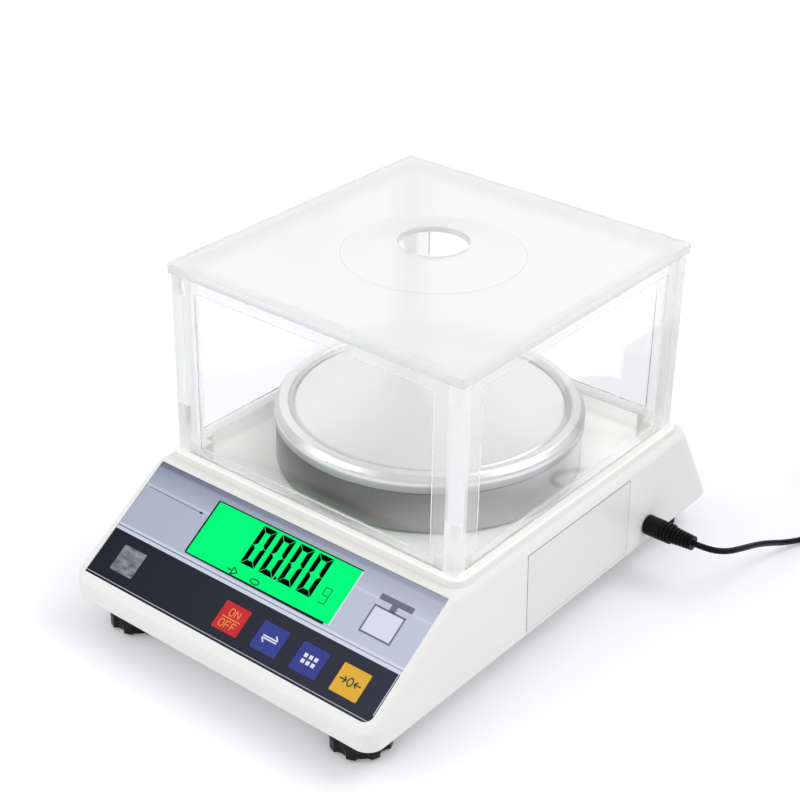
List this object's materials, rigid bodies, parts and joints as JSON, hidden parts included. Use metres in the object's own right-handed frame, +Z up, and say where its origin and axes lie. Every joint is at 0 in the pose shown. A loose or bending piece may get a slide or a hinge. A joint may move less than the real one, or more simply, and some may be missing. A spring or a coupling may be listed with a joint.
{
  "type": "precision balance",
  "caption": "Bench balance with a sloped keypad and lit display, a round steel pan and a lift-off clear windshield with a lid, on levelling feet, with its cord and mains adapter.",
  "frame": {"origin": "on the table under the middle of the body", "axes": "+X to the user's right, +Y to the back, +Z up"},
  "size_m": [0.26, 0.3866, 0.1567],
  "materials": {
    "housing": "satin moulded",
    "cover": "fine texture",
    "black_plastic": "matt",
    "film": "satin film",
    "badge": "satin",
    "lens": "clear, lit from behind",
    "lcd": "smooth",
    "milky": "diffusing",
    "circuit_board": "solder mask",
    "key_red": "satin film",
    "key_blue": "satin film",
    "key_yellow": "satin film",
    "steel": "zinc plated",
    "brass": "turned",
    "aluminium": "machined",
    "cast_aluminium": "cast",
    "drum": "moulded",
    "rubber": "matt",
    "pan_steel": "satin spun",
    "clear": "clear moulded",
    "clear_lid": "milky moulded",
    "label": "paper-like film",
    "foot": "matt",
    "nickel": "nickel plated",
    "cord": "satin",
    "adapter": "fine texture"
  },
  "bodies": {
    "base": {"upper_housing": "housing", "bottom_cover": "cover", "cover_screws": "steel", "foot_inserts": "brass", "front_film": "film", "badge": "badge", "display_window": "lens", "display_frame": "black_plastic", "display_glass": "lcd", "display_backlight": "milky", "display_board": "circuit_board", "key_switches": "black_plastic", "keypad_board": "circuit_board", "board_screws": "steel", "load_cell": "aluminium", "cell_spacer": "aluminium", "pan_carrier": "cast_aluminium", "cell_bolts": "steel", "overload_stop": "steel", "pan_drum": "drum", "drum_screw": "steel", "pan_pads": "rubber", "shield_locators": "housing", "main_board": "circuit_board", "power_inlet": "black_plastic", "rating_label": "label", "plug_sleeve": "nickel", "cord_plug": "cord", "power_cord": "cord", "cord_coil": "cord", "power_adapter": "adapter", "adapter_blades": "nickel"},
    "key_on_off_cap": {"key_on_off": "key_red"},
    "key_mode_cap": {"key_mode": "key_blue"},
    "key_count_cap": {"key_count": "key_blue"},
    "key_tare_cap": {"key_tare": "key_yellow"},
    "pan": {"weighing_pan": "pan_steel"},
    "windshield": {"shield_front": "clear", "shield_rear": "clear", "shield_left": "clear", "shield_right": "clear"},
    "lid": {"shield_lid": "clear_lid"},
    "foot_front_left": {"foot_stud_front_left": "steel"},
    "knob_front_left": {"foot_knob_front_left": "foot"},
    "foot_front_right": {"foot_stud_front_right": "steel"},
    "knob_front_right": {"foot_knob_front_right": "foot"},
    "foot_rear_left": {"foot_stud_rear_left": "steel"},
    "knob_rear_left": {"foot_knob_rear_left": "foot"},
    "foot_rear_right": {"foot_stud_rear_right": "steel"},
    "knob_rear_right": {"foot_knob_rear_right": "foot"}
  },
  "joints": [
    {"name": "windshield_lift", "type": "slide", "parent": "base", "child": "windshield", "axis": [0, 0, 1], "range_m": [0, 0.12]},
    {"name": "lid_lift", "type": "slide", "parent": "windshield", "child": "lid", "axis": [0, 0, 1], "range_m": [0, 0.06]},
    {"name": "pan_lift", "type": "slide", "parent": "base", "child": "pan", "axis": [0, 0, 1], "range_m": [0, 0.04]},
    {"name": "key_on_off_press", "type": "slide", "parent": "base", "child": "key_on_off_cap", "axis": [0, 0.5563, -0.831], "range_m": [0, 0.0003], "stiffness_N_per_m": 4000},
    {"name": "key_mode_press", "type": "slide", "parent": "base", "child": "key_mode_cap", "axis": [0, 0.5563, -0.831], "range_m": [0, 0.0003], "stiffness_N_per_m": 4000},
    {"name": "key_count_press", "type": "slide", "parent": "base", "child": "key_count_cap", "axis": [0, 0.5563, -0.831], "range_m": [0, 0.0003], "stiffness_N_per_m": 4000},
    {"name": "key_tare_press", "type": "slide", "parent": "base", "child": "key_tare_cap", "axis": [0, 0.5563, -0.831], "range_m": [0, 0.0003], "stiffness_N_per_m": 4000},
    {"name": "foot_front_left_travel", "type": "slide", "parent": "base", "child": "foot_front_left", "axis": [0, 0, 1], "range_m": [-0.002, 0.002]},
    {"name": "foot_front_left_turn", "type": "hinge", "parent": "foot_front_left", "child": "knob_front_left", "pos_m": [-0.0623, -0.10535, 0.004], "axis": [0, 0, 1], "range_deg": [-720, 720]},
    {"name": "foot_front_right_travel", "type": "slide", "parent": "base", "child": "foot_front_right", "axis": [0, 0, 1], "range_m": [-0.002, 0.002]},
    {"name": "foot_front_right_turn", "type": "hinge", "parent": "foot_front_right", "child": "knob_front_right", "pos_m": [0.0623, -0.10535, 0.004], "axis": [0, 0, 1], "range_deg": [-720, 720]},
    {"name": "foot_rear_left_travel", "type": "slide", "parent": "base", "child": "foot_rear_left", "axis": [0, 0, 1], "range_m": [-0.002, 0.002]},
    {"name": "foot_rear_left_turn", "type": "hinge", "parent": "foot_rear_left", "child": "knob_rear_left", "pos_m": [-0.0623, 0.10535, 0.004], "axis": [0, 0, 1], "range_deg": [-720, 720]},
    {"name": "foot_rear_right_travel", "type": "slide", "parent": "base", "child": "foot_rear_right", "axis": [0, 0, 1], "range_m": [-0.002, 0.002]},
    {"name": "foot_rear_right_turn", "type": "hinge", "parent": "foot_rear_right", "child": "knob_rear_right", "pos_m": [0.0623, 0.10535, 0.004], "axis": [0, 0, 1], "range_deg": [-720, 720]}
  ],
  "couplings": [
    {"joint": "foot_front_left_travel", "follows": "foot_front_left_turn", "m_per_rad": 0.00015915},
    {"joint": "foot_front_right_travel", "follows": "foot_front_right_turn", "m_per_rad": 0.00015915},
    {"joint": "foot_rear_left_travel", "follows": "foot_rear_left_turn", "m_per_rad": 0.00015915},
    {"joint": "foot_rear_right_travel", "follows": "foot_rear_right_turn", "m_per_rad": 0.00015915}
  ]
}
